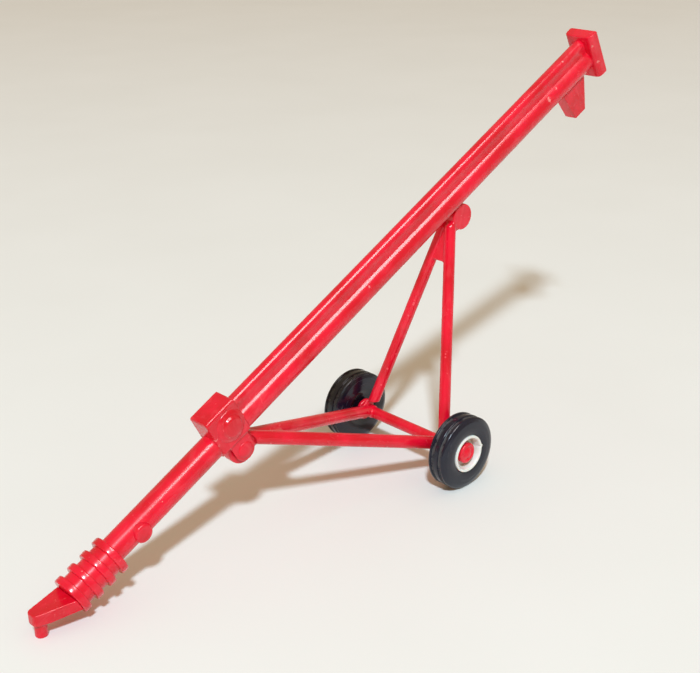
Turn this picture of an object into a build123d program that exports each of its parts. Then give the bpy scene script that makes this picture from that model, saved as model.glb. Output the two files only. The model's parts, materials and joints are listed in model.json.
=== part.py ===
"""Toy grain auger on a two-wheeled lift frame, moulded in red plastic.

X runs along the ground from the hitch to the discharge end, Y points to the auger's left and
Z is up. The origin is on the ground, midway along the toy's length. Positions on the auger
are given along its axis (s), above its axis (n) and to its left (y).
"""

from build123d import *
import math
import os

# Driving dimensions, in millimetres and degrees
PITCH = 27.5  # slope of the auger above the ground
START_X = -77.6  # where s = 0, ahead of the middle of the toy
AXIS_RISE = 1.67  # auger axis above the ground, at START_X
WALL = 0.8
RUNNING = 0.06  # radial clearance of a turning pin
GAP = 0.3  # between mouldings that pass each other

TUBE_R = 2.6
SPIGOT_R, SPIGOT_LEN = 1.7, 1.2  # stepped ends that plug into the mouldings
BORE_R = SPIGOT_R - WALL
TUBE_START = 8.6  # inside the intake collar
HEAD_START, HEAD_LEN, HEAD_HALF_W = 171.0, 3.0, 3.6
HEAD_LOW, HEAD_HIGH = -4.4, 6.4

COVER_TOP_R, COVER_TOP_N = 1.4, 4.0  # rounded ridge of the shaft cover
COVER_FOOT_Y = 1.4

BOX_START, BOX_LEN, BOX_HALF_W = 45.8, 7.6, 2.65
BOX_LOW, BOX_HIGH = -2.6, 7.0
CAP_S, CAP_N, CAP_R, CAP_T = 50.1, 2.6, 3.3, 0.5
CAP_NUB_R, CAP_NUB_T = 2.2, 0.7

RING_R, LAND_R, RING_W, RING_PITCH, RING_COUNT = 4.0, 3.25, 1.55, 3.1, 4
COLLAR_START, COLLAR_N = 7.85, -0.45  # the collar sits a little low on the tube
BUTTON_S, BUTTON_N, BUTTON_R, BUTTON_REACH = 24.6, -0.1, 1.95, 3.25

PIN_X = START_X + 0.8
HITCH_PIN_R = 1.2
PIN_SHOULDER_R, PIN_SHOULDER_LEN = 1.4, 0.2
TONGUE_TOP, TONGUE_LOW = 5.15, 2.9  # above the ground, at the tip
TONGUE_ROOT_TOP, TONGUE_ROOT_LOW = 0.65, -1.85  # about the auger axis, at the collar
TONGUE_TIP, TONGUE_FLAT = 1.8, 1.0  # ahead of the pin, and level underside behind it
TONGUE_TIP_HALF_W, TONGUE_ROOT_HALF_W = 1.3, 3.5

SPOUT_TOP_S, SPOUT_LOW_S = (160.4, 168.3), (162.1, 165.8)
SPOUT_LOW_N, SPOUT_HALF_W, SPOUT_WALL = -9.7, 1.5, 0.6

# Lift linkage: both drums lie PIVOT_N below the auger axis
PIVOT_N = -4.95
LOWER_S, UPPER_S = 50.3, 120.9
DRUM_R, DRUM_HALF_W = 3.25, 1.2
TOP_DRUM_R, TOP_DRUM_HALF_W = 2.85, 1.55
LUG_R, LUG_T, LUG_ROOM = 2.4, 0.65, 0.65
PIVOT_PIN_R = 0.7
TRACK_START, TRACK_END = 106.0, 140.0  # flat under the tube for the upper drum
WEB_LEN, WEB_T = 12.0, 1.3
GUSSET_T, NECK_T = 1.6, 2.0
UPRIGHT_SHARE, GUSSET_SHARE, NECK_SHARE = 0.92, 0.77, 0.87  # of the way from axle to apex

WHEEL_R, TYRE_W, HALF_TRACK = 8.0, 5.0, 16.05
SIDEWALL_R = 6.9
TREAD_PITCH, GROOVE_W, GROOVE_DEPTH = 0.95, 0.8, 0.35
AXLE_X = START_X + 93.81
CORNER_Y = 11.25  # where arm, upright and cross bar meet
ARM_R, UPRIGHT_R, CROSS_R = 1.4, 1.25, 1.28
ARM_APEX_S, ARM_APEX_N = 51.4, -3.3
UPRIGHT_APEX_S, UPRIGHT_APEX_N = 119.8, -2.3
EYE_R, FOOT_BOSS_R = 1.5, 2.4
LAP_R, EYE_LEN = 2.5, 1.2  # half-lap of the knuckle
FOOT_BOSS_T = 0.9
FOOT_OUT = 13.2  # outer face of the lift frame's foot
AXLE_PIN_R, AXLE_HEAD_R, AXLE_HEAD_T = 0.8, 2.25, 1.6
PIN_ROOT_Y = 8.5
HUB_R, HUB_DEPTH = 4.1, 3.4
HUB_RECESS_R, HUB_FLOOR_R, HUB_RECESS_DEPTH = 3.7, 3.1, 1.9

SLOPE = math.radians(PITCH)
ALONG = Vector(math.cos(SLOPE), 0, math.sin(SLOPE))
ABOVE = Vector(-math.sin(SLOPE), 0, math.cos(SLOPE))
SIDEWAYS = Vector(0, 1, 0)
BASE = Vector(START_X, 0, AXIS_RISE)


def on_auger(s, n=0.0, y=0.0):
    """Point at s along the auger axis, n above it and y to its left."""
    return BASE + ALONG * s + ABOVE * n + SIDEWAYS * y


def across(s):
    """Plane square to the auger at s; its x is y, its y is n."""
    return Plane(origin=on_auger(s), x_dir=SIDEWAYS, z_dir=ALONG)


def facing_left(point):
    """Plane through a point, facing +Y."""
    return Plane(origin=point, x_dir=(1, 0, 0), z_dir=SIDEWAYS)


SIDE = Plane(origin=BASE, x_dir=ALONG, z_dir=-SIDEWAYS)  # its x is s, its y is n
LOWER_PIVOT = on_auger(LOWER_S, PIVOT_N)
UPPER_PIVOT = on_auger(UPPER_S, PIVOT_N)
AXLE = Vector(AXLE_X, 0, WHEEL_R)
ARM_APEX = on_auger(ARM_APEX_S, ARM_APEX_N)
UPRIGHT_APEX = on_auger(UPRIGHT_APEX_S, UPRIGHT_APEX_N)
BOX_END = BOX_START + BOX_LEN
COLLAR_END = COLLAR_START + RING_PITCH * (RING_COUNT - 1) + RING_W
LUG_INNER = DRUM_HALF_W + GAP
SIDES = (("right", -1), ("left", 1))

os.makedirs("parts", exist_ok=True)


def save(builder, name):
    """Label a finished piece and write it."""
    builder.part.label = name
    export_step(builder.part, f"parts/{name}.step")


# ---- Auger tubes: two lengths with stepped ends, plugged into the gearbox housing ----

with BuildPart() as lower_tube:
    with BuildSketch(across(TUBE_START)):
        Circle(TUBE_R)
    extrude(amount=BOX_START - TUBE_START)
    with BuildSketch(across(BOX_START)):
        Circle(SPIGOT_R)
    extrude(amount=SPIGOT_LEN)
    with BuildSketch(across(TUBE_START)):
        Circle(BORE_R)
    extrude(amount=BOX_START + SPIGOT_LEN - TUBE_START, mode=Mode.SUBTRACT)
save(lower_tube, "lower_tube")

with BuildPart() as upper_tube:
    with BuildSketch(across(BOX_END)):
        Circle(TUBE_R)
    extrude(amount=HEAD_START - BOX_END)
    with BuildSketch(across(BOX_END - SPIGOT_LEN)):
        Circle(SPIGOT_R)
    extrude(amount=HEAD_START - BOX_END + 2 * SPIGOT_LEN)
    with BuildSketch(across(BOX_END - SPIGOT_LEN)):
        Circle(BORE_R)
    extrude(amount=HEAD_START - BOX_END + 2 * SPIGOT_LEN, mode=Mode.SUBTRACT)
    # track in the underside, along which the drum of the lift frame slides
    track_roof = PIVOT_N + TOP_DRUM_R + GAP
    with BuildSketch(SIDE):
        with Locations(((TRACK_START + TRACK_END) / 2, track_roof)):
            Rectangle(TRACK_END - TRACK_START, TUBE_R, align=(Align.CENTER, Align.MAX))
    extrude(amount=TUBE_R, both=True, mode=Mode.SUBTRACT)
save(upper_tube, "upper_tube")

# ---- Drive shaft cover: rounded ridge along the top of the upper tube ----

foot_n = math.sqrt(TUBE_R**2 - COVER_FOOT_Y**2)
with BuildPart() as shaft_cover:
    with BuildSketch(across(BOX_END)):
        with BuildLine():
            Line((COVER_FOOT_Y, foot_n), (COVER_TOP_R, COVER_TOP_N))
            ThreePointArc(
                (COVER_TOP_R, COVER_TOP_N), (0, COVER_TOP_N + COVER_TOP_R), (-COVER_TOP_R, COVER_TOP_N)
            )
            Line((-COVER_TOP_R, COVER_TOP_N), (-COVER_FOOT_Y, foot_n))
            ThreePointArc((-COVER_FOOT_Y, foot_n), (0, TUBE_R), (COVER_FOOT_Y, foot_n))
        make_face()
    extrude(amount=HEAD_START - BOX_END)
save(shaft_cover, "shaft_cover")

# ---- Gearbox housing: block on the tube, with a pocket and two lugs for the lower drum ----

with BuildPart() as gearbox_housing:
    with BuildSketch(SIDE):
        with Locations((BOX_START, BOX_LOW)):
            Rectangle(BOX_LEN, BOX_HIGH - BOX_LOW, align=(Align.MIN, Align.MIN))
    extrude(amount=BOX_HALF_W, both=True)
    top_face = gearbox_housing.faces().sort_by(Axis(BASE, ABOVE))[-1]
    fillet(top_face.edges(), 0.6)
    low_edges = gearbox_housing.edges().filter_by(Axis(BASE, ALONG)).sort_by(Axis(BASE, ABOVE))[:2]
    chamfer(low_edges, 1.1)
    with BuildSketch(facing_left(LOWER_PIVOT)):
        Circle(DRUM_R + GAP)
    extrude(amount=LUG_INNER, both=True, mode=Mode.SUBTRACT)
    for start in (BOX_START, BOX_END - SPIGOT_LEN):
        with BuildSketch(across(start)):
            Circle(SPIGOT_R)
        extrude(amount=SPIGOT_LEN, mode=Mode.SUBTRACT)
    with BuildSketch(SIDE) as lug:
        with Locations((LOWER_S, PIVOT_N)):
            Circle(LUG_R)
            Rectangle(2 * LUG_R, BOX_LOW - PIVOT_N + 0.6, align=(Align.CENTER, Align.MIN))
            Circle(PIVOT_PIN_R, mode=Mode.SUBTRACT)
    for _, side in SIDES:
        lug_place = Location((0, side * (LUG_INNER + LUG_T / 2), 0))
        extrude(lug.sketch.moved(lug_place), amount=LUG_T / 2, both=True)
save(gearbox_housing, "gearbox_housing")

# ---- Bearing caps on both sides of the gearbox ----

cap_centre = on_auger(CAP_S, CAP_N)
for side_name, side in SIDES:
    with BuildPart() as bearing_cap:
        with BuildSketch(facing_left(cap_centre + SIDEWAYS * side * BOX_HALF_W)):
            Circle(CAP_R)
        extrude(amount=side * CAP_T)
        with BuildSketch(facing_left(cap_centre + SIDEWAYS * side * (BOX_HALF_W + CAP_T))):
            Circle(CAP_NUB_R)
        extrude(amount=side * CAP_NUB_T)
        fillet(bearing_cap.faces().sort_by(Axis.Y)[-1 if side > 0 else 0].edges(), 0.35)
    save(bearing_cap, f"{side_name}_bearing_cap")

# ---- Intake collar: four rings round the lower end of the tube, closed at the bottom ----

with BuildPart() as intake_collar:
    with BuildSketch(across(COLLAR_START)):
        with Locations((0, COLLAR_N)):
            Circle(LAND_R)
    extrude(amount=COLLAR_END - COLLAR_START)
    for ring in range(RING_COUNT):
        with BuildSketch(across(COLLAR_START + RING_PITCH * ring)):
            with Locations((0, COLLAR_N)):
                Circle(RING_R)
        extrude(amount=RING_W)
    round_edges = intake_collar.edges().filter_by(GeomType.CIRCLE)
    fillet(round_edges.filter_by(lambda e: e.radius > RING_R - 0.01), 0.3)
    with BuildSketch(across(TUBE_START)):
        Circle(TUBE_R)
    extrude(amount=COLLAR_END - TUBE_START, mode=Mode.SUBTRACT)
save(intake_collar, "intake_collar")

# ---- Hitch tongue: tapered slab ahead of the collar, with the hitch pin under its tip ----

root_top = on_auger(COLLAR_START, TONGUE_ROOT_TOP)
root_low = on_auger(COLLAR_START, TONGUE_ROOT_LOW)
tip_x = PIN_X - TONGUE_TIP
with BuildPart() as hitch_tongue:
    with BuildSketch(Plane.XY):
        Polygon(
            (tip_x, -TONGUE_TIP_HALF_W),
            (root_low.X, -TONGUE_ROOT_HALF_W),
            (root_low.X, TONGUE_ROOT_HALF_W),
            (tip_x, TONGUE_TIP_HALF_W),
            align=None,
        )
    extrude(amount=2 * TONGUE_TOP)
    with BuildSketch(Plane.XZ):
        Polygon(
            (tip_x, TONGUE_LOW),
            (PIN_X + TONGUE_FLAT, TONGUE_LOW),
            (root_low.X, root_low.Z),
            (root_top.X, root_top.Z),
            (tip_x, TONGUE_TOP),
            align=None,
        )
    extrude(amount=TONGUE_ROOT_HALF_W, both=True, mode=Mode.INTERSECT)
    fillet(hitch_tongue.edges().filter_by(Axis.Z).sort_by(Axis.X)[:2], 1.0)
    # the pin, with a shoulder at its root
    for radius, reach in ((HITCH_PIN_R, TONGUE_LOW), (PIN_SHOULDER_R, PIN_SHOULDER_LEN)):
        with BuildSketch(Plane.XY.offset(TONGUE_LOW)):
            with Locations((PIN_X, 0)):
                Circle(radius)
        extrude(amount=-reach)
save(hitch_tongue, "hitch_tongue")

# ---- Button on the right side of the lower tube ----

with BuildPart() as right_button:
    with BuildSketch(facing_left(on_auger(BUTTON_S, BUTTON_N))):
        Circle(BUTTON_R)
    extrude(amount=-BUTTON_REACH)
    fillet(right_button.faces().sort_by(Axis.Y)[0].edges(), 0.35)
    with BuildSketch(across(BUTTON_S - BUTTON_R - 1)):
        Circle(TUBE_R)
    extrude(amount=2 * BUTTON_R + 2, mode=Mode.SUBTRACT)
save(right_button, "right_button")

# ---- Discharge head: upright block that closes the top of the tube ----

with BuildPart() as discharge_head:
    with BuildSketch(SIDE):
        with Locations((HEAD_START, HEAD_LOW)):
            Rectangle(HEAD_LEN, HEAD_HIGH - HEAD_LOW, align=(Align.MIN, Align.MIN))
    extrude(amount=HEAD_HALF_W, both=True)
    upright_edges = discharge_head.edges().filter_by(Axis(BASE, ABOVE))
    fillet(upright_edges.sort_by(Axis(BASE, ALONG))[:2], 1.1)
    outer_face = discharge_head.faces().sort_by(Axis(BASE, ALONG))[-1]
    fillet(outer_face.edges(), 0.4)
    with BuildSketch(across(HEAD_START)):
        Circle(SPIGOT_R)
    extrude(amount=SPIGOT_LEN, mode=Mode.SUBTRACT)
save(discharge_head, "discharge_head")

# ---- Discharge spout: tapered chute under the tube, open at the bottom ----

with BuildPart() as discharge_spout:
    with BuildSketch(SIDE):
        Polygon(
            (SPOUT_TOP_S[0], -TUBE_R),
            (SPOUT_TOP_S[0], -1),
            (SPOUT_TOP_S[1], -1),
            (SPOUT_TOP_S[1], -TUBE_R),
            (SPOUT_LOW_S[1], SPOUT_LOW_N),
            (SPOUT_LOW_S[0], SPOUT_LOW_N),
            align=None,
        )
    extrude(amount=SPOUT_HALF_W, both=True)
    with BuildSketch(SIDE):
        Polygon(
            (SPOUT_TOP_S[0] + SPOUT_WALL, -1),
            (SPOUT_TOP_S[1] - SPOUT_WALL, -1),
            (SPOUT_LOW_S[1] - SPOUT_WALL, SPOUT_LOW_N),
            (SPOUT_LOW_S[0] + SPOUT_WALL, SPOUT_LOW_N),
            align=None,
        )
    extrude(amount=SPOUT_HALF_W - SPOUT_WALL, both=True, mode=Mode.SUBTRACT)
    with BuildSketch(across(SPOUT_TOP_S[0] - 1)):
        Circle(TUBE_R)
    extrude(amount=SPOUT_TOP_S[1] - SPOUT_TOP_S[0] + 2, mode=Mode.SUBTRACT)
save(discharge_spout, "discharge_spout")

# ---- Pivot pin through the housing lugs and the lower drum ----

with BuildPart() as pivot_pin:
    with BuildSketch(facing_left(LOWER_PIVOT)):
        Circle(PIVOT_PIN_R)
    extrude(amount=LUG_INNER + LUG_T, both=True)
save(pivot_pin, "pivot_pin")

# ---- Lower frame: two arms spreading from the lower drum to a cross bar at the wheels ----

with BuildPart() as lower_frame:
    for _, side in SIDES:
        corner = AXLE + SIDEWAYS * side * CORNER_Y
        with BuildSketch(Plane(origin=ARM_APEX, z_dir=corner - ARM_APEX)):
            Circle(ARM_R)
        extrude(amount=(corner - ARM_APEX).length)
        with BuildSketch(facing_left(AXLE)):
            Circle(CROSS_R)
        extrude(amount=side * (CORNER_Y - GAP / 2))
        with BuildSketch(facing_left(corner - SIDEWAYS * side * EYE_LEN)):
            Circle(EYE_R)
        extrude(amount=side * (EYE_LEN - GAP / 2))
        # half-lap for the foot of the lift frame
        with BuildSketch(facing_left(corner - SIDEWAYS * side * GAP / 2)):
            Circle(LAP_R)
        extrude(amount=side * LAP_R, mode=Mode.SUBTRACT)
    # flat web between the arms
    arm_dir = (AXLE - ARM_APEX).normalized()
    web_spread = CORNER_Y / (AXLE - ARM_APEX).length
    with BuildSketch(Plane(origin=ARM_APEX, x_dir=arm_dir, z_dir=SIDEWAYS.cross(arm_dir))):
        Polygon((0, 0), (WEB_LEN, -WEB_LEN * web_spread), (WEB_LEN, WEB_LEN * web_spread), align=None)
    extrude(amount=WEB_T / 2, both=True)
    # clear the housing lugs, then put in the drum between them
    for _, side in SIDES:
        with BuildSketch(facing_left(LOWER_PIVOT + SIDEWAYS * side * DRUM_HALF_W)):
            Circle(LUG_R + LUG_ROOM)
        extrude(amount=side * ARM_R * 2, mode=Mode.SUBTRACT)
    with BuildSketch(facing_left(LOWER_PIVOT)):
        Circle(DRUM_R)
    extrude(amount=DRUM_HALF_W, both=True)
    with BuildSketch(facing_left(LOWER_PIVOT)):
        Circle(PIVOT_PIN_R + RUNNING)
    extrude(amount=DRUM_HALF_W, both=True, mode=Mode.SUBTRACT)
    # holes in the ends of the cross bar for the axle pins
    for _, side in SIDES:
        with BuildSketch(facing_left(AXLE + SIDEWAYS * side * PIN_ROOT_Y)):
            Circle(AXLE_PIN_R)
        extrude(amount=side * CORNER_Y, mode=Mode.SUBTRACT)
save(lower_frame, "lower_frame")

# ---- Lift frame: two uprights from the wheels to the upper drum in the tube's track ----

upright_top = AXLE + (UPRIGHT_APEX - AXLE) * UPRIGHT_SHARE
neck_low = AXLE + (UPRIGHT_APEX - AXLE) * NECK_SHARE
with BuildPart() as lift_frame:
    for _, side in SIDES:
        corner = AXLE + SIDEWAYS * side * CORNER_Y
        top = corner + (UPRIGHT_APEX - corner) * UPRIGHT_SHARE
        with BuildSketch(Plane(origin=corner, z_dir=top - corner)):
            Circle(UPRIGHT_R)
        extrude(amount=(top - corner).length)
        with Locations(top):
            Sphere(UPRIGHT_R)
        # half-lap over the eye of the lower frame, then the eye and foot boss outside it
        with BuildSketch(facing_left(corner + SIDEWAYS * side * GAP / 2)):
            Circle(LAP_R)
        extrude(amount=-side * LAP_R, mode=Mode.SUBTRACT)
        with BuildSketch(facing_left(corner + SIDEWAYS * side * GAP / 2)):
            Circle(EYE_R)
        extrude(amount=side * (FOOT_OUT - CORNER_Y - GAP / 2))
        with BuildSketch(facing_left(AXLE + SIDEWAYS * side * FOOT_OUT)):
            Circle(FOOT_BOSS_R)
        extrude(amount=-side * FOOT_BOSS_T)
        with BuildSketch(facing_left(AXLE + SIDEWAYS * side * FOOT_OUT)):
            Circle(AXLE_PIN_R + RUNNING)
        extrude(amount=-side * FOOT_OUT / 4, mode=Mode.SUBTRACT)
    with BuildSketch(facing_left(UPPER_PIVOT)):
        Circle(TOP_DRUM_R)
    extrude(amount=TOP_DRUM_HALF_W, both=True)
    # gusset between the uprights below their tops, and the neck that carries the drum
    up_dir = (UPRIGHT_APEX - AXLE).normalized()
    full_len = (UPRIGHT_APEX - AXLE).length
    up_spread = CORNER_Y / full_len
    gusset_top, gusset_low = full_len * (1 - UPRIGHT_SHARE), full_len * (1 - GUSSET_SHARE)
    with BuildSketch(Plane(origin=UPRIGHT_APEX, x_dir=-up_dir, z_dir=SIDEWAYS.cross(up_dir))):
        Polygon(
            (gusset_top, -gusset_top * up_spread),
            (gusset_low, -gusset_low * up_spread),
            (gusset_low, gusset_low * up_spread),
            (gusset_top, gusset_top * up_spread),
            align=None,
        )
    extrude(amount=GUSSET_T / 2, both=True)
    with BuildSketch(Plane.XZ):
        Polygon(
            (UPPER_PIVOT.X, UPPER_PIVOT.Z),
            (upright_top.X, upright_top.Z + UPRIGHT_R),
            (neck_low.X, neck_low.Z),
            (UPPER_PIVOT.X - 0.4, UPPER_PIVOT.Z - TOP_DRUM_R + 0.1),
            align=None,
        )
    extrude(amount=NECK_T / 2, both=True)
save(lift_frame, "lift_frame")

# ---- Axle pins, pressed into the cross bar; feet and wheels turn on them ----

for side_name, side in SIDES:
    outer = HALF_TRACK + TYRE_W / 2
    head_in = outer - HUB_RECESS_DEPTH + GAP
    with BuildPart() as axle_pin:
        with BuildSketch(facing_left(AXLE + SIDEWAYS * side * PIN_ROOT_Y)):
            Circle(AXLE_PIN_R)
        extrude(amount=side * (head_in - PIN_ROOT_Y))
        with BuildSketch(facing_left(AXLE + SIDEWAYS * side * head_in)):
            Circle(AXLE_HEAD_R)
        extrude(amount=side * AXLE_HEAD_T)
        fillet(axle_pin.faces().sort_by(Axis.Y)[-1 if side > 0 else 0].edges(), 0.5)
    save(axle_pin, f"{side_name}_axle_pin")

# ---- Wheels: moulded tyre closed on its inner side, hub pushed in from outside ----

for side_name, side in SIDES:
    section = Plane(origin=AXLE, x_dir=SIDEWAYS, z_dir=(1, 0, 0))
    inner, outer = side * (HALF_TRACK - TYRE_W / 2), side * (HALF_TRACK + TYRE_W / 2)
    hub_inner = outer - side * HUB_DEPTH
    bore = AXLE_PIN_R + RUNNING
    with BuildPart() as tyre:
        with BuildSketch(section):
            with BuildLine():
                Polyline(
                    (outer, SIDEWALL_R),
                    (outer, HUB_R),
                    (hub_inner, HUB_R),
                    (hub_inner, bore),
                    (inner, bore),
                    (inner, SIDEWALL_R),
                )
                ThreePointArc(
                    (inner, SIDEWALL_R),
                    (inner + side * 0.25, WHEEL_R - 0.4),
                    (inner + side * 0.8, WHEEL_R),
                )
                Line((inner + side * 0.8, WHEEL_R), (outer - side * 0.8, WHEEL_R))
                ThreePointArc(
                    (outer - side * 0.8, WHEEL_R),
                    (outer - side * 0.25, WHEEL_R - 0.4),
                    (outer, SIDEWALL_R),
                )
            make_face()
            # the grooves that part the tread into three ribs
            for offset in (-TREAD_PITCH, TREAD_PITCH):
                with Locations((side * (HALF_TRACK + offset), WHEEL_R)):
                    Rectangle(GROOVE_W, 2 * GROOVE_DEPTH, mode=Mode.SUBTRACT)
        revolve(axis=Axis(AXLE, SIDEWAYS))
    save(tyre, f"{side_name}_tyre")
    with BuildPart() as hub:
        with BuildSketch(section):
            with BuildLine():
                Polyline(
                    (hub_inner, bore),
                    (hub_inner, HUB_R),
                    (outer, HUB_R),
                    (outer, HUB_RECESS_R),
                    (outer - side * HUB_RECESS_DEPTH, HUB_FLOOR_R),
                    (outer - side * HUB_RECESS_DEPTH, bore),
                    close=True,
                )
            make_face()
        revolve(axis=Axis(AXLE, SIDEWAYS))
    save(hub, f"{side_name}_hub")
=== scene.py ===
"""Looks of a toy grain auger on its two-wheeled lift frame: glossy red mouldings, black tyres.

Metres throughout; sizes are written in millimetres and multiplied by MM. Places on the auger are
given along its axis (s), above it (n) and to its left (y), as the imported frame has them.
"""

import json
import math

import bmesh
import bpy
from mathutils import Matrix, Quaternion, Vector


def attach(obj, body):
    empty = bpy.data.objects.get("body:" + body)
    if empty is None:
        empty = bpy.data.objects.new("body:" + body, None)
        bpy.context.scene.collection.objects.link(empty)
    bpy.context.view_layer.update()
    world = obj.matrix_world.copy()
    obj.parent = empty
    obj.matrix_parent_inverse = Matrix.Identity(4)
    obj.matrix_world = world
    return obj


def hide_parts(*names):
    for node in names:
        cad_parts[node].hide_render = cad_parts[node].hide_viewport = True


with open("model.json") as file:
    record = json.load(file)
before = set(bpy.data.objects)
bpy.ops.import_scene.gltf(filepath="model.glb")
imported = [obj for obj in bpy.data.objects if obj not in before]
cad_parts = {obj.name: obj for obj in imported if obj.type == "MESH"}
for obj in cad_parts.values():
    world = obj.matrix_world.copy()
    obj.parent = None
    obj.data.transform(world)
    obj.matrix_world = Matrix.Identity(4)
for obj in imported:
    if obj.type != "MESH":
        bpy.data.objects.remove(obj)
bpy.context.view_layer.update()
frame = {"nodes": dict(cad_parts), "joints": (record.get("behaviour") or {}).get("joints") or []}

# ---- Lower auger tube ----
# Straight red polyethylene tube between the intake and the gearbox, injection moulded with a
# stepped end that plugs into the gearbox. Its gloss shows flow streaks and shallow sink marks.

MM = 0.001
SLOPE = math.radians(27.5)
ALONG = Vector((math.cos(SLOPE), 0, math.sin(SLOPE)))
ABOVE = Vector((-math.sin(SLOPE), 0, math.cos(SLOPE)))
LEFT = Vector((0, 1, 0))
hinges = {joint["name"]: Vector(joint["pos_m"]) for joint in frame["joints"]}
PIVOT_S, PIVOT_N = 50.3, -4.95  # where the lower drum's centre lies on the auger
TUBE_R, SPIGOT_R, BORE_R, SPIGOT_LEN = 2.6, 1.7, 0.9, 1.2
TUBE_START, BOX_START, BOX_END = 8.6, 45.8, 53.4
LOWER_SPANS = 8


def place(s, n=0.0, y=0.0):
    """Point of the row frame at s along the auger, n above its axis and y to its left."""
    return hinges["lift"] + (ALONG * (s - PIVOT_S) + ABOVE * (n - PIVOT_N) + LEFT * y) * MM


def ring(centre, axis, radius, count=64):
    """Points on a circle round an axis, the first one as near to straight up as it can be."""
    aim = Vector(axis).to_track_quat("Z", "Y")
    turns = [math.tau * i / count for i in range(count)]
    return [
        centre + aim @ Vector((math.sin(a) * radius * MM, math.cos(a) * radius * MM, 0)) for a in turns
    ]


def skin(name, rings, closed=False, crease=35):
    """Object whose surface runs through rings of points; its ends are capped, or joined up."""
    shell = bmesh.new()
    loops = [[shell.verts.new(point) for point in points] for points in rings]
    bands = list(zip(loops, loops[1:]))
    if closed:
        bands.append((loops[-1], loops[0]))
    else:
        shell.faces.new(loops[0])
        shell.faces.new(loops[-1])
    for near, far in bands:
        for i, corner in enumerate(near):
            shell.faces.new((corner, near[i - 1], far[i - 1], far[i]))
    bmesh.ops.recalc_face_normals(shell, faces=shell.faces)
    mesh = bpy.data.meshes.new(name)
    shell.to_mesh(mesh)
    shell.free()
    mesh.shade_smooth()
    mesh.set_sharp_from_angle(angle=math.radians(crease))
    moulding = bpy.data.objects.new(name, mesh)
    bpy.context.scene.collection.objects.link(moulding)
    return moulding


class Shade:
    """One socket of a material's shader, on which sums can be written."""

    def __init__(self, tree, socket=None):
        self.tree = tree
        self.socket = socket

    def node(self, kind, settings=None, sockets=None, output=0):
        """The output of a new node, made with its settings first and then its sockets."""
        made = self.tree.nodes.new(kind)
        for key, value in (settings or {}).items():
            setattr(made, key, value)
        for key, value in (sockets or {}).items():
            if isinstance(value, Shade):
                self.tree.links.new(value.socket, made.inputs[key])
            else:
                made.inputs[key].default_value = value
        return Shade(self.tree, made.outputs[output])

    def maths(self, operation, *values):
        """The result of one sum on values or sockets."""
        return self.node("ShaderNodeMath", {"operation": operation}, dict(enumerate(values)))

    def __add__(self, other):
        return self.maths("ADD", self, other)

    def __sub__(self, other):
        return self.maths("SUBTRACT", self, other)

    def __rsub__(self, other):
        return self.maths("SUBTRACT", other, self)

    def __mul__(self, other):
        return self.maths("MULTIPLY", self, other)

    __radd__ = __add__
    __rmul__ = __mul__

    def steps(self, low, high):
        """0 where the value is under low, 1 where it is over high, and even between them."""
        return self.node(
            "ShaderNodeMapRange",
            {"clamp": True, "interpolation_type": "SMOOTHSTEP"},
            {"Value": self, "From Min": low, "From Max": high},
        )

    def dot(self, axis):
        """The part of a vector that lies along an axis."""
        return self.node(
            "ShaderNodeVectorMath", {"operation": "DOT_PRODUCT"}, {0: self, 1: tuple(axis)}, "Value"
        )

    def away_from(self, point):
        """Distance from a point."""
        return self.node(
            "ShaderNodeVectorMath", {"operation": "DISTANCE"}, {0: self, 1: tuple(point)}, "Value"
        )

    def noise(self, scale, detail=2.0, distortion=0.0):
        """Noise of that many waves to a millimetre, at this place."""
        return self.node(
            "ShaderNodeTexNoise",
            {},
            {"Vector": self, "Scale": scale, "Detail": detail, "Distortion": distortion},
        )

    def stretched(self, axis, across, share):
        """This place with lengths along one axis shortened to a share of themselves."""
        third = Vector(axis).cross(Vector(across))
        return self.node(
            "ShaderNodeCombineXYZ",
            {},
            {"X": self.dot(axis) * share, "Y": self.dot(across), "Z": self.dot(third)},
        )

    def between(self, start, end):
        """The colour that this mask picks: start where it is 0 and end where it is 1."""
        return self.node(
            "ShaderNodeMix", {"data_type": "RGBA"}, {"Factor": self, "A": start, "B": end}, "Result"
        )

    def tinted(self, mask, colour):
        """This colour, turned towards another one by a mask."""
        return mask.between(self, colour)

    def relief(self, depth, height, under=None):
        """A normal raised by this height, over an earlier normal."""
        sockets = {"Strength": 1.0, "Distance": depth * MM, "Height": height}
        if under is not None:
            sockets["Normal"] = under
        return self.node("ShaderNodeBump", {}, sockets)


def finish(name, **constants):
    """A new material, its place in millimetres, and the shader that its colour goes into."""
    material = bpy.data.materials.new(name)
    material.use_nodes = True
    tree = material.node_tree
    shader = tree.nodes["Principled BSDF"]
    for socket, value in constants.items():
        shader.inputs[socket.replace("_", " ")].default_value = value
    here = Shade(tree).node("ShaderNodeTexCoord", output="Object")
    millimetres = here.node(
        "ShaderNodeVectorMath", {"operation": "SCALE"}, {0: here, "Scale": 1 / MM}
    )
    return material, millimetres, shader


def link(shader, **shades):
    """Leads shades into a shader's sockets."""
    for socket, shade in shades.items():
        shade.tree.links.new(shade.socket, shader.inputs[socket.replace("_", " ")])


RED, DEEP_RED, PALE_RED = (0.80, 0.005, 0.030, 1), (0.64, 0.002, 0.014, 1), (0.90, 0.14, 0.16, 1)
DENT_PALE, SETTLED_DUST = (0.95, 0.30, 0.27, 1), (0.75, 0.60, 0.55, 1)
SCRATCH_WAYS = ((0.35, 0.025), (1.2, 0.03), (2.4, 0.025))  # turn from the flow, share of length kept
FINE_DEPTH, DENT_SHARE = 0.012, 5.0  # depth of scratches, and how many times deeper a dent is


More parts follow.
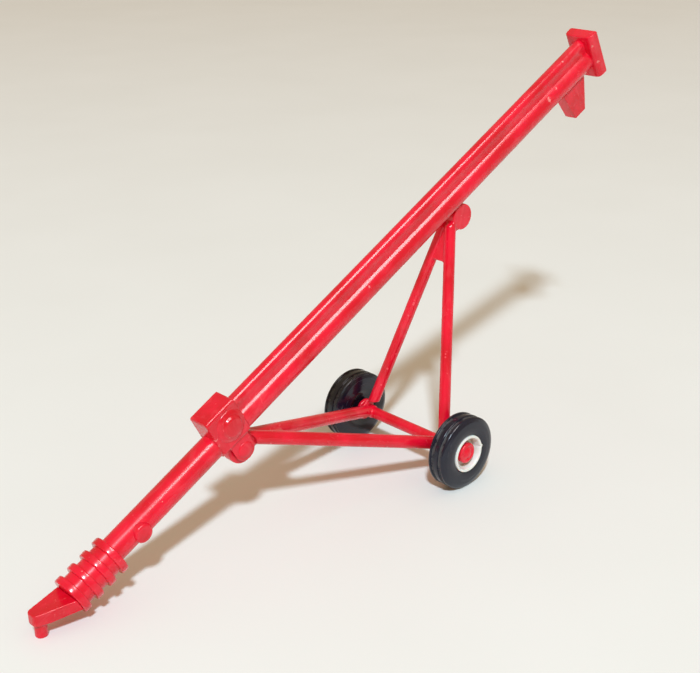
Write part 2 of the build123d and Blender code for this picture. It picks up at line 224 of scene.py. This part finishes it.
def hairlines(here, flow, side):
    """Mask of hairline scratches, which lie along a few ways over the surface."""
    marks = None
    for turn, share in SCRATCH_WAYS:
        way = Vector(flow) * math.cos(turn) + side * math.sin(turn)
        fine = here.stretched(way, way.orthogonal().normalized(), share).noise(1.6, 0.0)
        line = fine.steps(0.775, 0.79) * here.noise(0.25, 1.0).steps(0.50, 0.62)
        marks = line if marks is None else marks.maths("MAXIMUM", marks, line)
    return marks


def red_plastic(name, flow=ALONG, nicks=(), sink=0.05, wear_and_highlight=0.35):
    """Glossy red plastic: flow is the way the melt ran, and nicks are (place, radius) of pale dents.

    Sink is the depth of the waves that the melt left, and wear_and_highlight is how pale the rims
    are painted, partly as wear and partly as painted highlight.
    """
    material, here, shader = finish(
        name,
        Subsurface_Weight=0.12,
        Subsurface_Scale=0.6 * MM,
        Subsurface_Radius=(1.0, 0.12, 0.08),
        Specular_IOR_Level=0.4,
        Coat_Weight=0.2,
        Coat_Roughness=0.07,
    )
    side = Vector(flow).orthogonal().normalized()
    melt = here.stretched(flow, side, 0.06)
    ripple = here.stretched(flow, side, 0.3)
    streaks = melt.noise(0.9, 3.0)
    clouds = here.noise(0.13, 3.0)
    peel = here.noise(5.0, 1.0)
    scratch = hairlines(here, flow, side)
    # Rounded rims are painted paler: partly wear, partly a painted highlight on the rounded edges.
    rims = here.node("ShaderNodeNewGeometry", output="Pointiness").steps(0.53, 0.60)
    rubbed_and_highlit = rims * here.noise(0.8, 3.0).steps(0.42, 0.62)
    dust = here.noise(1.7, 4.0).steps(0.60, 0.74) * here.noise(0.16, 1.0).steps(0.45, 0.65)
    # Pale streaks along the flow: partly flow marks in the plastic, partly painted highlight lines
    # along the bars.
    pale_flow_and_highlight = ripple.noise(0.55, 3.0, 0.6).steps(0.52, 0.70)
    colour = clouds.steps(0.36, 0.66).between(RED, DEEP_RED)
    colour = colour.tinted(streaks.steps(0.50, 0.72) * 0.35, DEEP_RED)
    colour = colour.tinted(pale_flow_and_highlight * 0.11, PALE_RED)
    colour = colour.tinted(rubbed_and_highlit * wear_and_highlight, PALE_RED)
    colour = colour.tinted(scratch * 0.05, PALE_RED)
    colour = colour.tinted(dust * 0.05, SETTLED_DUST)
    rough = 0.15 + streaks * 0.12 + dust * 0.10 + scratch * 0.10 + rubbed_and_highlit * 0.12
    height = ripple.noise(0.28, 1.0) + streaks * 0.16
    pits = scratch * -0.35 + peel * 0.15
    for spot, radius in nicks:
        ragged = here.away_from(spot / MM) + here.noise(2.6, 4.0) * radius * 4.0
        dent = 1 - ragged.steps(radius * 2.0, radius * 2.9)
        colour = colour.tinted(dent * 0.75, DENT_PALE)
        rough = rough + dent * 0.25
        pits = pits - dent * DENT_SHARE
    bumps = here.relief(FINE_DEPTH, pits, here.relief(sink, height))
    link(shader, Base_Color=colour, Roughness=rough, Normal=bumps)
    return material


def fit(moulding, node, body, material):
    """Puts a moulding in its node's place, on its body, in its finish."""
    moulding.data.materials.clear()
    moulding.data.materials.append(material)
    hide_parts(node)
    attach(moulding, body)


lower_middle = [
    (TUBE_START + (BOX_START - TUBE_START) * i / LOWER_SPANS, TUBE_R) for i in range(1, LOWER_SPANS)
]
lower_rings = [
    ring(place(s), ALONG, radius)
    for s, radius in (
        (TUBE_START, BORE_R),
        (TUBE_START, TUBE_R),
        *lower_middle,
        (BOX_START, TUBE_R),
        (BOX_START, SPIGOT_R),
        (BOX_START + SPIGOT_LEN, SPIGOT_R),
        (BOX_START + SPIGOT_LEN, BORE_R),
    )
]
lower_tube = skin("lower_tube_moulding", lower_rings, closed=True)
fit(lower_tube, "lower_tube", "auger", red_plastic(
    "red_lower_tube", nicks=[(place(43.6, 1.9, -1.8), 0.22), (place(31.0, 1.4, -2.2), 0.16)]))

# ---- Upper auger tube ----
# The long tube from the gearbox to the head. Under its middle a flat track is moulded in, along
# which the drum of the lift frame slides; years of use left a few pale dents on its right side.

HEAD_START = 171.0
TRACK_START, TRACK_END, TRACK_LOW, TRACK_EASE = 106.0, 140.0, -1.8, 0.5


def on_track(points, s):
    """The tube's points at s, flattened where the track is."""
    inside = min(s - TRACK_START, TRACK_END - s)
    low = -TUBE_R + (TRACK_LOW + TUBE_R) * min(max(inside / TRACK_EASE, 0), 1)
    flat = []
    for point in points:
        n = (point - place(s)).dot(ABOVE) / MM
        flat.append(point + ABOVE * max(low - n, 0) * MM)
    return flat


upper_stations = [BOX_END, 70.0, 88.0, TRACK_START, TRACK_START + TRACK_EASE]
upper_stations += [TRACK_END - TRACK_EASE, TRACK_END, 155.0, HEAD_START]
upper_rings = [ring(place(BOX_END - SPIGOT_LEN), ALONG, r) for r in (BORE_R, SPIGOT_R)]
upper_rings.append(ring(place(BOX_END), ALONG, SPIGOT_R))
upper_rings += [on_track(ring(place(s), ALONG, TUBE_R), s) for s in upper_stations]
upper_rings.append(ring(place(HEAD_START), ALONG, SPIGOT_R))
upper_rings += [ring(place(HEAD_START + SPIGOT_LEN), ALONG, r) for r in (SPIGOT_R, BORE_R)]
upper_tube = skin("upper_tube_moulding", upper_rings, closed=True)
fit(upper_tube, "upper_tube", "auger", red_plastic("red_upper_tube", nicks=[
    (place(91.5, 1.3, -2.2), 0.42),
    (place(95.0, 0.2, -2.6), 0.3),
    (place(154.8, 1.2, -2.3), 0.62),
    (place(158.0, 1.6, -2.0), 0.42),
    (place(124.0, 1.9, -1.8), 0.2),
]))

# ---- Drive shaft cover ----
# Red ridge along the top of the upper tube, one moulding with it, standing for the cover of the
# drive shaft. Its crest is round, and its flanks are drawn in a little above the tube.

COVER_TOP_R, COVER_TOP_N, COVER_FOOT_Y, COVER_HOLLOW = 1.4, 4.0, 1.4, 0.1
COVER_SOLE_R = TUBE_R - 0.3  # the ridge's underside, sunk in the tube's wall
FLANK_STEPS, CREST_STEPS, SOLE_STEPS, COVER_SPANS = 7, 18, 8, 12


def cover_section(s):
    """Outline of the ridge across the auger at s, from one foot over the crest to the other."""
    foot_n = math.sqrt(TUBE_R**2 - COVER_FOOT_Y**2)
    flank = []
    for i in range(FLANK_STEPS):
        t = i / FLANK_STEPS
        y = COVER_FOOT_Y + (COVER_TOP_R - COVER_FOOT_Y) * t - COVER_HOLLOW * math.sin(math.pi * t)
        flank.append((y, foot_n + (COVER_TOP_N - foot_n) * t))
    crest = [math.pi * i / CREST_STEPS for i in range(CREST_STEPS + 1)]
    outline = flank + [
        (COVER_TOP_R * math.cos(a), COVER_TOP_N + COVER_TOP_R * math.sin(a)) for a in crest
    ]
    outline += [(-y, n) for y, n in reversed(flank)]
    under = math.asin(COVER_FOOT_Y / COVER_SOLE_R)
    sole = [under * (1 - 2 * i / SOLE_STEPS) for i in range(SOLE_STEPS + 1)]
    outline += [(-COVER_SOLE_R * math.sin(a), COVER_SOLE_R * math.cos(a)) for a in sole]
    return [place(s, n, y) for y, n in outline]


cover_rings = [
    cover_section(BOX_END + (HEAD_START - BOX_END) * i / COVER_SPANS) for i in range(COVER_SPANS + 1)
]
shaft_cover = skin("shaft_cover_moulding", cover_rings, crease=50)
fit(shaft_cover, "shaft_cover", "auger", red_plastic("red_shaft_cover", nicks=[
    (place(93.5, 4.9, -0.9), 0.34),
    (place(97.4, 4.6, -1.1), 0.20),
    (place(66.0, 5.2, -0.6), 0.14),
    (place(163.5, 4.9, -0.9), 0.30),
]))

# ---- Gearbox housing ----
# Chunky red block on the tube, with the pocket and the two lugs for the lower drum moulded in
# below. All its edges are rounded by the mould and rubbed pale on the side of the intake, and its
# rims are painted paler, partly as wear and partly as painted highlight.


def soften(name, node, voxel=0.12, passes=8, level=True):
    """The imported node's own shape as a moulding, with every edge rounded off and filled a little.

    It is worked in millimetres, and level says that the piece lies along the auger and is turned
    level with the voxels first. More passes round it further.
    """
    turn = Matrix.Rotation(SLOPE if level else 0.0, 4, "Y")
    mesh = frame["nodes"][node].data.copy()
    mesh.transform(turn @ Matrix.Scale(1 / MM, 4))
    rough = bpy.data.objects.new(name, mesh)
    bpy.context.scene.collection.objects.link(rough)
    remesh = rough.modifiers.new("Remesh", "REMESH")
    remesh.mode = "VOXEL"
    remesh.voxel_size = voxel
    smooth = rough.modifiers.new("Smooth", "SMOOTH")
    smooth.factor = 0.5
    smooth.iterations = passes
    bpy.context.view_layer.update()
    even = bpy.data.meshes.new_from_object(rough.evaluated_get(bpy.context.evaluated_depsgraph_get()))
    even.transform(Matrix.Scale(MM, 4) @ turn.inverted())
    even.shade_smooth()
    rough.modifiers.clear()
    rough.data = even
    return rough


gearbox = soften("gearbox_moulding", "gearbox_housing", passes=14)
fit(gearbox, "gearbox_housing", "auger", red_plastic("red_gearbox", flow=ABOVE, wear_and_highlight=0.5, nicks=[
    (place(46.1, 2.6, -2.5), 0.42),
    (place(46.1, 1.3, -2.5), 0.34),
    (place(46.0, 3.9, -2.4), 0.26),
]))

# ---- Bearing caps ----
# Low red discs on both sides of the gearbox with a smaller domed nub, which stand for the bearings
# of the drive. They are moulded with the housing, so the foot of each runs softly into it.

CAP_S, CAP_N, CAP_R, CAP_FACE, CAP_T = 50.1, 2.6, 3.3, 2.65, 0.5
CAP_ROOT = CAP_FACE - 0.5  # sunk in the housing
NUB_R, NUB_T = 2.2, 0.7
SIDES = (("right", -1), ("left", 1))


def eased(corners, radius, closed=False, steps=5):
    """The corners of a turned outline, each rounded off by up to that radius."""
    out = [] if closed else [corners[0]]
    turning = range(len(corners)) if closed else range(1, len(corners) - 1)
    for i in turning:
        before, corner, after = (Vector(corners[j % len(corners)]) for j in (i - 1, i, i + 1))
        room = min(radius, (before - corner).length * 0.45, (after - corner).length * 0.45)
        start = corner + (before - corner).normalized() * room
        end = corner + (after - corner).normalized() * room
        for k in range(steps + 1):
            t = k / steps
            out.append(tuple(start * (1 - t) ** 2 + corner * 2 * t * (1 - t) + end * t**2))
    return out if closed else out + [corners[-1]]


def turned(name, centre, axis, outline, closed=False, count=64):
    """A piece turned round an axis from an outline of (distance along the axis, radius)."""
    axis = Vector(axis)
    rings = [ring(centre + axis * reach * MM, axis, radius, count) for reach, radius in outline]
    return skin(name, rings, closed)


cap_outline = eased(
    [
        (CAP_ROOT, 0.3),
        (CAP_ROOT, CAP_R + 0.1),
        (CAP_FACE + 0.05, CAP_R + 0.1),
        (CAP_FACE + CAP_T - 0.1, CAP_R - 0.6),
        (CAP_FACE + CAP_T, NUB_R + 0.1),
        (CAP_FACE + CAP_T + NUB_T - 0.15, NUB_R - 0.25),
        (CAP_FACE + CAP_T + NUB_T, NUB_R * 0.45),
        (CAP_FACE + CAP_T + NUB_T + 0.06, 0.1),
    ],
    radius=0.5,
)
for side_name, side in SIDES:
    cap = turned(f"{side_name}_cap_moulding", place(CAP_S, CAP_N), LEFT * side, cap_outline)
    fit(cap, f"{side_name}_bearing_cap", "auger", red_plastic(f"red_{side_name}_cap", flow=ABOVE))

# ---- Intake collar ----
# Four thick rings round the foot of the tube, for the flights at the intake, in red plastic.
# It sits a little low on the tube and its lower end is closed.

COLLAR_START, COLLAR_N = 7.85, -0.45
RING_R, LAND_R, RING_W, RING_PITCH, RING_COUNT = 4.0, 3.25, 1.55, 3.1, 4
COLLAR_END = COLLAR_START + RING_PITCH * (RING_COUNT - 1) + RING_W
collar_outline = []
for turn in range(RING_COUNT):
    edge = COLLAR_START + turn * RING_PITCH
    corners = [(edge, LAND_R), (edge, RING_R), (edge + RING_W, RING_R), (edge + RING_W, LAND_R)]
    collar_outline += eased(corners, radius=0.32, steps=4)
collar_outline = [(COLLAR_START, LAND_R * 0.5)] + collar_outline
collar_rings = [ring(place(s, COLLAR_N), ALONG, radius) for s, radius in collar_outline]
collar_rings += [ring(place(s), ALONG, TUBE_R) for s in (COLLAR_END, TUBE_START)]
collar_rings.append(ring(place(TUBE_START), ALONG, TUBE_R * 0.5))
collar = skin("collar_moulding", collar_rings, crease=60)
fit(collar, "intake_collar", "auger", red_plastic("red_collar", flow=LEFT, wear_and_highlight=0.6, nicks=[
    (place(12.0, 3.2, -1.6), 0.16)]))

# ---- Hitch tongue ----
# Tapered red slab ahead of the collar with the hitch pin under its tip. The pin's end is rounded
# by the mould and scuffed, and the tip's corners are worn; its rims are also painted paler as a
# painted highlight.

tongue = soften("tongue_moulding", "hitch_tongue", passes=10, level=False)
fit(tongue, "hitch_tongue", "auger", red_plastic("red_tongue", wear_and_highlight=0.6, nicks=[
    (place(3.5, 1.2, -1.9), 0.18)]))

# ---- Side button ----
# Small round boss on the right side of the lower tube, where the moulding was gated.

BUTTON_S, BUTTON_N, BUTTON_R, BUTTON_REACH = 24.6, -0.1, 1.95, 3.25
button_outline = eased(
    [
        (BUTTON_REACH - 2.1, BUTTON_R * 0.3),
        (BUTTON_REACH - 2.1, BUTTON_R * 0.8),
        (BUTTON_REACH - 1.6, BUTTON_R + 0.05),
        (BUTTON_REACH - 0.1, BUTTON_R - 0.05),
        (BUTTON_REACH, BUTTON_R * 0.45),
        (BUTTON_REACH + 0.02, 0.1),
    ],
    radius=0.45,
)
button = turned("button_moulding", place(BUTTON_S, BUTTON_N), -LEFT, button_outline)
fit(button, "right_button", "auger", red_plastic("red_button", flow=ABOVE))

# ---- Discharge head ----
# Upright red block that closes the top of the tube, its corners rounded by the mould.

head = soften("head_moulding", "discharge_head", passes=18)
fit(head, "discharge_head", "auger", red_plastic("red_head", flow=ABOVE, wear_and_highlight=0.5, nicks=[
    (place(171.3, 3.9, -3.4), 0.45),
    (place(171.8, -0.4, -3.6), 0.46),
    (place(170.9, 5.4, -1.4), 0.20),
]))

# ---- Discharge spout ----
# Flat red chute under the top of the tube, moulded open at its lower end.

spout = soften("spout_moulding", "discharge_spout", voxel=0.10, passes=4)
fit(spout, "discharge_spout", "auger", red_plastic("red_spout", flow=ABOVE))

# ---- Pivot pin ----
# Red pin through the housing's lugs and the lower drum. Each of its ends is spread into a low dome
# that lies on its lug.

PIN_R, PIN_HALF, PIN_CAP_R, PIN_DOME, PIN_CAP_EDGE = 0.7, 2.15, 1.7, 0.4, 0.06
DOME_STEPS, DOME_START = 8, 3  # the dome's outline starts that many degrees off its middle
dome_angles = [
    math.radians(DOME_START + (90 - DOME_START) * i / DOME_STEPS) for i in range(DOME_STEPS + 1)
]
pin_half = [(PIN_HALF + PIN_DOME * math.cos(a), PIN_CAP_R * math.sin(a)) for a in dome_angles]
pin_half += [
    (PIN_HALF - PIN_CAP_EDGE, PIN_CAP_R),
    (PIN_HALF - PIN_CAP_EDGE, PIN_R),
]
pin_outline = [(-reach, radius) for reach, radius in pin_half]
pin_outline += [(reach, radius) for reach, radius in reversed(pin_half)]
pivot = turned("pivot_pin_moulding", hinges["lift"], LEFT, pin_outline, count=32)
fit(pivot, "pivot_pin", "auger", red_plastic("red_pivot_pin", flow=LEFT))

# ---- Lower frame ----
# Red A-frame from the lower drum to the wheels: two round arms, the cross bar and a small web
# between the arms, in one moulding, filleted where the bars meet. The melt ran along the arms.

FRAME_VOXEL, FRAME_PASSES, FRAME_SINK = 0.17, 7, 0.16
lower_frame = soften(
    "lower_frame_moulding", "lower_frame", voxel=FRAME_VOXEL, passes=FRAME_PASSES, level=False
)
fit(lower_frame, "lower_frame", "undercarriage", red_plastic(
    "red_lower_frame", flow=Vector((1, 0, -0.2)).normalized(), sink=FRAME_SINK, wear_and_highlight=0.5))

# ---- Lift frame ----
# Two red uprights from the wheels to the drum that slides under the tube, with a gusset and a
# neck between them, in one moulding. Its feet turn on the axle pins.

lift_frame = soften(
    "lift_frame_moulding", "lift_frame", voxel=FRAME_VOXEL, passes=FRAME_PASSES, level=False
)
fit(lift_frame, "lift_frame", "lift_frame", red_plastic(
    "red_lift_frame", flow=Vector((0.15, 0, 1)).normalized(), sink=FRAME_SINK, wear_and_highlight=0.5))

# ---- Axle pins ----
# Red pins pressed into the cross bar; the broad head of each shows in the middle of its hub, with
# a turned ring and a low dome.

WHEEL_R, TYRE_HALF = 8.0, 2.5
AXLE_R, AXLE_HEAD_R, AXLE_HEAD_T, HEAD_FACE = 0.8, 2.25, 1.6, 0.9
PIN_ROOT = -7.55  # inboard of the middle of the wheel
axle_outline = [(PIN_ROOT, 0.3), (PIN_ROOT, AXLE_R), (HEAD_FACE, AXLE_R)]
axle_outline += eased(
    [
        (HEAD_FACE, AXLE_HEAD_R),
        (HEAD_FACE + AXLE_HEAD_T * 0.75, AXLE_HEAD_R),
        (HEAD_FACE + AXLE_HEAD_T * 0.85, AXLE_HEAD_R * 0.72),
        (HEAD_FACE + AXLE_HEAD_T * 0.68, AXLE_HEAD_R * 0.62),
        (HEAD_FACE + AXLE_HEAD_T * 0.78, AXLE_HEAD_R * 0.5),
        (HEAD_FACE + AXLE_HEAD_T, AXLE_HEAD_R * 0.25),
        (HEAD_FACE + AXLE_HEAD_T * 1.02, 0.1),
    ],
    radius=0.35,
)
for side_name, side in SIDES:
    wheel_centre = hinges[f"{side_name}_wheel_spin"]
    axle = turned(f"{side_name}_axle_moulding", wheel_centre, LEFT * side, axle_outline)
    fit(axle, f"{side_name}_axle_pin", "undercarriage", red_plastic(
        f"red_{side_name}_axle", flow=LEFT, wear_and_highlight=0.6))

# ---- Hubs ----
# Off-white moulded hubs, pushed into the tyres from outside: a thin rim, a dished recess for the
# head of the axle pin, and the stub of the gate left on the rim. Painted shade and grime darken the
# dish.

HUB_R, HUB_BACK, HUB_RIM_R, HUB_FLOOR_R, HUB_FLOOR = 4.1, -0.9, 3.52, 3.1, 0.6
HUB_BORE = 0.86
HUB_WHITE, HUB_YELLOWED = (0.82, 0.81, 0.76, 1), (0.76, 0.75, 0.69, 1)
GRIME_AND_SHADE, SPECK = (0.36, 0.31, 0.24, 1), (0.28, 0.25, 0.2, 1)
STUB_ANGLE, STUB_REACH, STUB_SPREAD = math.radians(8), 0.35, 0.07


def hub_plastic(name, centre, outwards):
    """Satin off-white plastic, greyer towards the floor of the dish from painted shade and grime."""
    material, here, shader = finish(name, Subsurface_Weight=0.15, Subsurface_Scale=0.5 * MM)
    depth = here.dot(outwards) - centre.dot(outwards) / MM
    dish = 1 - depth.steps(HUB_FLOOR, TYRE_HALF - 0.1)
    grime = dish * here.noise(0.9, 4.0).steps(0.35, 0.65)
    specks = here.noise(3.0, 3.0).steps(0.66, 0.74)
    colour = here.noise(0.4, 2.0).between(HUB_WHITE, HUB_YELLOWED)
    # Painted shade darkens the whole dish, with patches of grime over it.
    colour = colour.tinted(dish * 0.25 + grime * 0.35, GRIME_AND_SHADE)
    colour = colour.tinted(specks * 0.35, SPECK)
    rough = 0.32 + grime * 0.25 + here.noise(1.5, 3.0) * 0.08
    bumps = here.relief(0.01, here.noise(3.5, 2.0))
    link(shader, Base_Color=colour, Roughness=rough, Normal=bumps)
    return material


def draw_gate_stub(hub, centre):
    """Draws a small part of the hub's rim out into the stub that the gate leaves."""
    aim = Vector((math.cos(STUB_ANGLE), 0, math.sin(STUB_ANGLE)))
    for vertex in hub.data.vertices:
        spoke = vertex.co - centre
        spoke.y = 0
        if spoke.length > (HUB_R - 0.6) * MM and abs(vertex.co.y - centre.y) > (TYRE_HALF - 0.3) * MM:
            near = math.exp(-((spoke.normalized() - aim).length / STUB_SPREAD) ** 2)
            vertex.co += aim * near * STUB_REACH * MM


hub_outline = eased(
    [
        (HUB_BACK, HUB_BORE),
        (HUB_BACK, HUB_R),
        (TYRE_HALF - 0.1, HUB_R),
        (TYRE_HALF + 0.02, HUB_R - 0.06),
        (TYRE_HALF + 0.02, HUB_RIM_R + 0.08),
        (TYRE_HALF - 0.12, HUB_RIM_R),
        (HUB_FLOOR + 0.05, HUB_FLOOR_R),
        (HUB_FLOOR, HUB_BORE),
    ],
    radius=0.16,
    closed=True,
)
for side_name, side in SIDES:
    wheel_centre = hinges[f"{side_name}_wheel_spin"]
    hub = turned(
        f"{side_name}_hub_moulding", wheel_centre, LEFT * side, hub_outline, closed=True, count=96
    )
    draw_gate_stub(hub, wheel_centre)
    fit(hub, f"{side_name}_hub", f"{side_name}_wheel", hub_plastic(
        f"white_{side_name}_hub", wheel_centre, LEFT * side))

# ---- Tyres ----
# Hard black tyres with three smooth ribs and a full side wall, moulded in one piece with the web
# that closes them on the inner side. They are polished, with dust in the grooves and light scuffs.

SIDEWALL_R, RIB_OUTER, GROOVE_MIDDLE, GROOVE_HALF, GROOVE_DEPTH = 6.9, 1.8, 0.95, 0.42, 0.38
BLACK, PALER_BLACK = (0.004, 0.005, 0.013, 1), (0.007, 0.008, 0.021, 1)
SHADED_BLACK = (0.004, 0.004, 0.004, 1)  # close to the hub
GROOVE_DUST, SCUFF = (0.11, 0.10, 0.09, 1), (0.09, 0.09, 0.095, 1)


def tyre_black(name, centre, outwards):
    """Polished black: dust lies in the grooves, and the ribs are scuffed along the way they roll."""
    material, here, shader = finish(name)
    depth = here.dot(outwards) - centre.dot(outwards) / MM
    across_wheel = here.dot((1, 0, 0)) - centre.x / MM
    up_wheel = here.dot((0, 0, 1)) - centre.z / MM
    radius = across_wheel.maths("SQRT", across_wheel * across_wheel + up_wheel * up_wheel)
    in_tread = 1 - depth.maths("ABSOLUTE", depth).steps(RIB_OUTER - 0.3, RIB_OUTER)
    groove = in_tread * (1 - radius.steps(WHEEL_R - GROOVE_DEPTH, WHEEL_R - 0.1))
    dust = groove * here.noise(0.7, 3.0).steps(0.42, 0.64)
    beside_hub = 1 - radius.steps(HUB_R + 0.05, HUB_R + 0.45)
    rolled = here.node(
        "ShaderNodeCombineXYZ", {}, {"X": depth * 6.0, "Y": radius * 2.0, "Z": up_wheel * 0.3}
    )
    scuffs = rolled.noise(1.2, 4.0).steps(0.60, 0.70) * here.noise(0.35, 2.0).steps(0.45, 0.62)
    colour = here.noise(0.3, 2.0).between(BLACK, PALER_BLACK)
    colour = colour.tinted(dust * 0.55, GROOVE_DUST)
    colour = colour.tinted(scuffs * 0.35, SCUFF)
    colour = colour.tinted(beside_hub * 0.6, SHADED_BLACK)
    rough = 0.14 + here.noise(0.8, 3.0) * 0.12 + scuffs * 0.25 + dust * 0.35
    parting = 1 - depth.maths("ABSOLUTE", depth).steps(0.03, 0.08)
    bumps = here.relief(0.004, here.noise(1.1, 2.0) + parting * 0.5 * radius.steps(7.9, 7.95))
    link(shader, Base_Color=colour, Roughness=rough, Normal=bumps)
    return material


tyre_corners = [
    (HUB_BACK, HUB_R),
    (HUB_BACK, HUB_BORE),
    (-TYRE_HALF + 0.35, HUB_BORE),
    (-TYRE_HALF + 0.35, 3.0),
    (-TYRE_HALF, 4.2),
    (-TYRE_HALF, 5.6),
    (-TYRE_HALF + 0.12, SIDEWALL_R),
    (-TYRE_HALF + 0.45, WHEEL_R - 0.3),
    (-RIB_OUTER, WHEEL_R),
]
for groove in (-GROOVE_MIDDLE, GROOVE_MIDDLE):
    tyre_corners += [
        (groove - GROOVE_HALF, WHEEL_R),
        (groove - GROOVE_HALF * 0.8, WHEEL_R - GROOVE_DEPTH),
        (groove + GROOVE_HALF * 0.8, WHEEL_R - GROOVE_DEPTH),
        (groove + GROOVE_HALF, WHEEL_R),
    ]
tyre_corners += [
    (RIB_OUTER, WHEEL_R),
    (TYRE_HALF - 0.45, WHEEL_R - 0.3),
    (TYRE_HALF - 0.12, SIDEWALL_R),
    (TYRE_HALF, 5.7),
    (TYRE_HALF - 0.05, 4.9),
    (TYRE_HALF - 0.18, 4.35),
    (TYRE_HALF - 0.35, HUB_R + 0.02),
    (TYRE_HALF - 0.6, HUB_R),
]
tyre_outline = eased(tyre_corners, radius=0.26, closed=True)
for side_name, side in SIDES:
    wheel_centre = hinges[f"{side_name}_wheel_spin"]
    tyre = turned(
        f"{side_name}_tyre_moulding", wheel_centre, LEFT * side, tyre_outline, closed=True, count=128
    )
    fit(tyre, f"{side_name}_tyre", f"{side_name}_wheel", tyre_black(
        f"black_{side_name}_tyre", wheel_centre, LEFT * side))

# ---- Table top, light and camera ----
# A pale matt table under the toy, a cool key lamp ahead of it on its right, and a broad lamp above
# its right side for the long highlights. The camera looks back along the auger from ahead, right.

TABLE_HALF = 3.0
TABLE_WARM, TABLE_GREY = (0.86, 0.84, 0.80, 1), (0.82, 0.80, 0.755, 1)
table = bpy.data.meshes.new("table_top")
table.from_pydata(
    [(x * TABLE_HALF, y * TABLE_HALF, 0) for x, y in ((-1, -1), (1, -1), (1, 1), (-1, 1))],
    [],
    [(0, 1, 2, 3)],
)
table_top = bpy.data.objects.new("table_top", table)
bpy.context.scene.collection.objects.link(table_top)
paper, here, shader = finish("pale_paper", Specular_IOR_Level=0.2)
tone = here.noise(0.02, 2.0).between(TABLE_WARM, TABLE_GREY)
link(shader, Base_Color=tone, Roughness=0.7 + here.noise(0.5, 2.0) * 0.1)
table.materials.append(paper)

TOY_MIDDLE, LAMP_DISTANCE = Vector((0, 0, 0.035)), 2.0


def lamp(name, travel, size, watts, colour):
    """Square soft lamp whose light travels that way to the middle of the toy."""
    light = bpy.data.lights.new(name, "AREA")
    light.size = size
    light.energy = watts
    light.color = colour
    holder = bpy.data.objects.new(name, light)
    holder.location = TOY_MIDDLE - travel.normalized() * LAMP_DISTANCE
    holder.rotation_euler = travel.to_track_quat("-Z", "Y").to_euler()
    bpy.context.scene.collection.objects.link(holder)
    return holder


lamp("key_lamp", Vector((0.45, 0.48, -0.75)), size=0.16, watts=40.0, colour=(0.69, 0.86, 1.0))
shine = lamp("shine_lamp", Vector((0.02, 0.48, -0.88)), size=0.8, watts=30.0, colour=(1.0, 0.95, 0.95))
shine.visible_diffuse = False  # it only gives the long highlights along the tubes

world = bpy.data.worlds.new("warm_room")
world.use_nodes = True
room = world.node_tree.nodes["Background"].inputs
room["Color"].default_value = (1.0, 0.79, 0.55, 1)
room["Strength"].default_value = 0.52
bpy.context.scene.world = world
bpy.context.scene.view_settings.view_transform = "Standard"

CAMERA_AZIMUTH, CAMERA_HEIGHT, CAMERA_ROLL = (math.radians(a) for a in (-43.662, 22.731, -0.690))
CAMERA_AIM, CAMERA_DISTANCE = Vector((-0.501, 0, 34.498)) * MM, 260.09 * MM
back = Vector((
    math.sin(CAMERA_AZIMUTH) * math.cos(CAMERA_HEIGHT),
    -math.cos(CAMERA_AZIMUTH) * math.cos(CAMERA_HEIGHT),
    math.sin(CAMERA_HEIGHT),
))
lens = bpy.data.cameras.new("camera")
lens.lens = 65.304
lens.sensor_width = 36.0
camera = bpy.data.objects.new("camera", lens)
camera.location = CAMERA_AIM + back * CAMERA_DISTANCE
camera.rotation_mode = "QUATERNION"
camera.rotation_quaternion = (-back).to_track_quat("-Z", "Y") @ Quaternion((0, 0, 1), CAMERA_ROLL)
bpy.context.scene.collection.objects.link(camera)
bpy.context.scene.camera = camera
